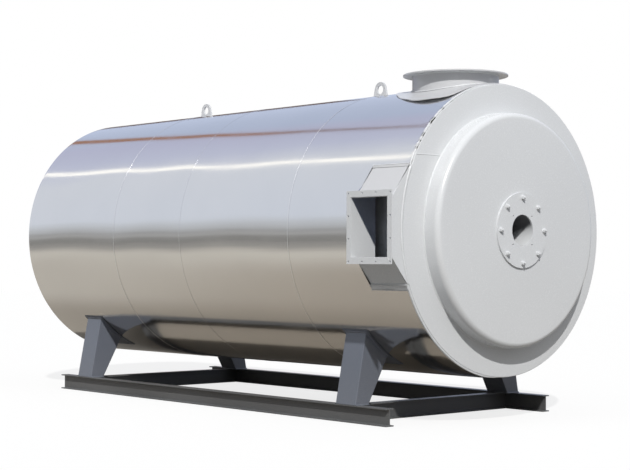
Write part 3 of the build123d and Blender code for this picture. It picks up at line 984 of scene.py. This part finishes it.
# Welds of the legs, feet and lugs
for end in ("front", "rear"):
    for title, hand in (("left", -1), ("right", 1)):
        leg_low, leg_size = spans(f"{end}_{title}_leg")
        middle = leg_low[1] + leg_size[1] / 2 - front_y
        sector = np.sort(1.5 * pi + hand * (pi / 2 - np.radians(leg_angles)))
        sweep_angle = np.linspace(*sector, leg_steps)
        level = np.ones(leg_steps)
        edges = (sweep_angle, sector[1] * level, sweep_angle[::-1], sector[0] * level)
        ramp = np.linspace(-1, 1, leg_steps) * leg_half_width
        depths = (-leg_half_width * level, ramp, leg_half_width * level, -ramp)
        loop_angle = np.concatenate([part[:-1] for part in edges])
        loop_station = middle + np.concatenate([part[:-1] for part in depths])
        top_line = about_axis(pad_radius, loop_angle, loop_station)
        bead(
            f"{end}_{title}_leg_weld", top_line, radial(loop_angle), leg_weld_leg, leg_weld_leg, -1,
            finish=leg_finish, slot="leg_paint",
        )
        outer = axis_x + hand * (axis_x - rail_low[0])
        inner = outer - hand * leg_foot_width
        near = front_y + middle - leg_half_width
        far = front_y + middle + leg_half_width
        foot_corners = ((outer, near), (inner, near), (inner, far), (outer, far))
        foot_line = walk([(x, y, rail_top) for x, y in foot_corners], closed=False)
        bead(
            f"{end}_{title}_foot_weld", foot_line, (0.0, 0.0, 1.0), leg_weld_leg, leg_weld_leg, -hand,
            closed=False, finish=leg_finish, slot="leg_paint",
        )
    lug_low, lug_size = spans(f"{end}_lifting_lug")
    lug_middle = lug_low[1] + lug_size[1] / 2
    lug_corners = [
        (axis_x + x * lug_half_thickness, lug_middle + y * lug_half_width, axis_z + cladding_radius)
        for x, y in ((-1, -1), (1, -1), (1, 1), (-1, 1))
    ]
    bead(f"{end}_lug_weld", walk(lug_corners), (0.0, 0.0, 1.0), weld_leg, weld_leg)


# Floor, and the ground that only light and reflections see
def plane(name, half, height, finish):
    """Level square of stage, at a height."""
    corner = np.linspace(-half, half, 3)
    x, y = np.meshgrid(corner, corner, indexing="ij")
    piece = grid_object(name, np.stack([x, y, height + 0 * x], axis=-1))
    piece.data.materials.append(finish)
    return piece


def card(name, start, end, low, high, finish):
    """Upright or level strip of stage between two points, swept from a low to a high offset.

    An offset is one for both ends, or a pair with one for each end.
    """
    ends = np.array([start, end], float)
    points = np.stack([ends + np.array(low), ends + np.array(high)], axis=1)
    piece = grid_object(name, points)
    piece.data.materials.append(finish)
    piece.visible_camera = False
    piece.visible_shadow = False
    piece.visible_diffuse = False
    return piece


def floor_paint():
    """White studio floor that keeps a faint shadow."""
    material, look = new_tree("studio_floor")
    bare = look.node("ShaderNodeBsdfDiffuse", {}, {"Color": (0.85, 0.85, 0.85)})
    white = look.node("ShaderNodeEmission", {}, {"Color": (1.0, 1.0, 1.0), "Strength": 1.0})
    look.output(look.node("ShaderNodeMixShader", {}, {0: 0.8, 1: bare, 2: white}))
    return material


def ground_paint():
    """Warm pale ground in reflections, deeper where it only returns light, with painted shadow near and
    under the furnace and towards the side card.
    """
    material, look = new_tree("studio_ground")
    place = look.place()
    clouds = look.noise(place, 0.25, 3.0)
    mirrored = look.node("ShaderNodeLightPath", out="Is Glossy Ray")
    offset = look.part(place, 0)
    depth = look.part(place, 1)
    pale = look.blend(clouds, (0.64, 0.60, 0.535), (0.70, 0.665, 0.60))
    # Painted shadow on the reflected ground: darker near the furnace, deeper under it, and greyer towards
    # the side card.
    painted_furnace_shadow = offset.over(-4.6, -2.2) * (1.0 - 0.65 * depth.over(-1.0, 4.0))
    pale = look.blend(painted_furnace_shadow, pale, (0.44, 0.395, 0.335))
    pale = look.blend(0.6 * offset.over(-1.35, -0.75), pale, (0.29, 0.255, 0.21))
    pale = look.blend(offset.over(-4.4, -6.9), pale, (0.36, 0.35, 0.33))
    colour = look.blend(mirrored, (0.25, 0.245, 0.235), pale)
    look.output(look.node("ShaderNodeBsdfDiffuse", {}, {"Color": colour}))
    return material


def glow(name, colour):
    """Card of one plain brightness."""
    material, look = new_tree(name)
    look.glow(colour)
    return material


def warming_brown():
    """Strip that turns from grey brown to rust brown towards the rear."""
    material, look = new_tree("strip_brown")
    depth = look.part(look.place(), 1)
    colour = look.blend(depth.over(6.6, 9.2), (0.38, 0.31, 0.33), (0.42, 0.20, 0.105))
    look.glow(colour)
    return material


def shaded_card():
    """Side card: dark at its foot, with a paler gap and a soft top."""
    material, look = new_tree("side_card_shade")
    height = look.part(look.place(), 2)
    stops = [
        (0.0, (0.33, 0.325, 0.31)), (0.24, (0.34, 0.335, 0.325)), (0.31, (0.54, 0.54, 0.53)),
        (0.38, (0.58, 0.58, 0.58)), (0.44, (0.38, 0.38, 0.38)), (0.50, (0.56, 0.57, 0.58)),
        (0.72, (0.72, 0.75, 0.79)), (1.0, (0.86, 0.91, 1.0)),
    ]
    look.glow(look.node("ShaderNodeValToRGB", {"stops": stops}, {0: height / side_card_height}))
    return material


def slanted(middle, slope, station, ends):
    """Two ends of a level line at the strips' height, which passes its middle at a station."""
    return [(middle + slope * (y - station), y, strip_height) for y in ends]


floor = plane("floor", 40.0, 0.0, floor_paint())
floor.visible_diffuse = False
floor.visible_glossy = False
floor.visible_shadow = False
ground = plane("ground", 120.0, -0.001, ground_paint())
ground.visible_camera = False

strip_height = 9.3
strip_half = 0.33
side_card_height = 3.4
brown_card_height = 7.0
card_reach = 9.5
card(
    "light_strip", *slanted(-4.784, 0.197, 7.8, (-14.2, 39.8)), (-strip_half, 0, 0), (strip_half, 0, 0),
    glow("strip_light", (1.75, 1.71, 1.61)),
)
card(
    "brown_strip", *slanted(0.186, 0.40, 6.8, (0.0, 20.0)),
    ((-0.04, 0, 0), (-0.54, 0, 0)), ((0.04, 0, 0), (0.54, 0, 0)), warming_brown(),
)
card(
    "side_card", (-card_reach, -20.0, 0.0), (-card_reach, 60.0, 0.0),
    (0, 0, 0), (0, 0, side_card_height), shaded_card(),
)
card(
    "brown_card", (card_reach, 10.0, 0.0), (card_reach, 60.0, 0.0),
    (0, 0, 0), (0, 0, brown_card_height), glow("card_brown", (0.15, 0.105, 0.09)),
)

# Light: a soft sun from the front left and a sky that pales towards the left
sun_direction = Vector((-0.457, -0.586, 0.669))
sun_data = bpy.data.lights.new("sun", "SUN")
sun_data.energy = 3.1
sun_data.angle = radians(1.2)
sun_data.color = (1.0, 0.985, 0.96)
sun = bpy.data.objects.new("sun", sun_data)
sun.rotation_euler = sun_direction.to_track_quat("Z", "Y").to_euler()
bpy.context.scene.collection.objects.link(sun)

world = bpy.data.worlds.new("sky")
bpy.context.scene.world = world
sky = Tree(world)
direction = sky.node("ShaderNodeTexCoord", out="Generated")
across = sky.part(direction, 0)
sky_stops = [
    (0.0, (0.86, 0.93, 1.06)),
    (0.355, (0.92, 0.96, 1.05)),
    (0.445, (0.72, 0.76, 0.95)),
    (0.56, (0.64, 0.66, 0.86)),
    (0.62, (0.60, 0.68, 0.88)),
    (1.0, (0.63, 0.70, 0.88)),
]
sky_colour = sky.node("ShaderNodeValToRGB", {"stops": sky_stops}, {0: 0.5 + 0.5 * across})
seen = sky.node("ShaderNodeLightPath", out="Is Camera Ray")
mirrored = sky.node("ShaderNodeLightPath", out="Is Glossy Ray")
through = sky.node("ShaderNodeLightPath", out="Is Transmission Ray")
height = sky.part(direction, 2)
depth = sky.part(direction, 1)
facing = 0.5 - 0.25 * across - 0.40 * depth
fill_colour = sky.blend(facing.over(0.05, 0.95), (0.34, 0.35, 0.37), (0.82, 0.84, 0.88))
fill_strength = 0.12 + 0.88 * height.over(0.02, 0.75)
fill_light = sky.node("ShaderNodeBackground", {}, {"Color": fill_colour, "Strength": fill_strength})
sky_light = sky.node("ShaderNodeBackground", {}, {"Color": sky_colour, "Strength": 1.0})
sky_white = sky.node("ShaderNodeBackground", {}, {"Color": (1.0, 1.0, 1.0), "Strength": 1.0})
lit = sky.node("ShaderNodeMixShader", {}, {0: mirrored + through, 1: fill_light, 2: sky_light})
sky.output(sky.node("ShaderNodeMixShader", {}, {0: seen, 1: lit, 2: sky_white}), "ShaderNodeOutputWorld")

# Camera, as the photograph was taken
camera_place = Vector((axis_x - 7.78405, front_y - 6.81926, axis_z - 0.22477))
camera_yaw = 0.72496
camera_pitch = 0.01863
camera_roll = 0.00324
camera_lens = 85.745
ahead = Vector(
    (sin(camera_yaw) * cos(camera_pitch), cos(camera_yaw) * cos(camera_pitch), sin(camera_pitch))
)
right = Vector((cos(camera_yaw), -sin(camera_yaw), 0.0))
above = right.cross(ahead)
rolled_right = cos(camera_roll) * right + sin(camera_roll) * above
rolled_above = cos(camera_roll) * above - sin(camera_roll) * right
camera_data = bpy.data.cameras.new("camera")
camera_data.sensor_fit = "HORIZONTAL"
camera_data.sensor_width = 36.0
camera_data.lens = camera_lens
camera_data.clip_end = 300.0
camera = bpy.data.objects.new("camera", camera_data)
camera.matrix_world = Matrix.Translation(camera_place) @ Matrix(
    (rolled_right, rolled_above, -ahead)
).transposed().to_4x4()
bpy.context.scene.collection.objects.link(camera)
bpy.context.scene.camera = camera
bpy.context.scene.view_settings.view_transform = "Standard"
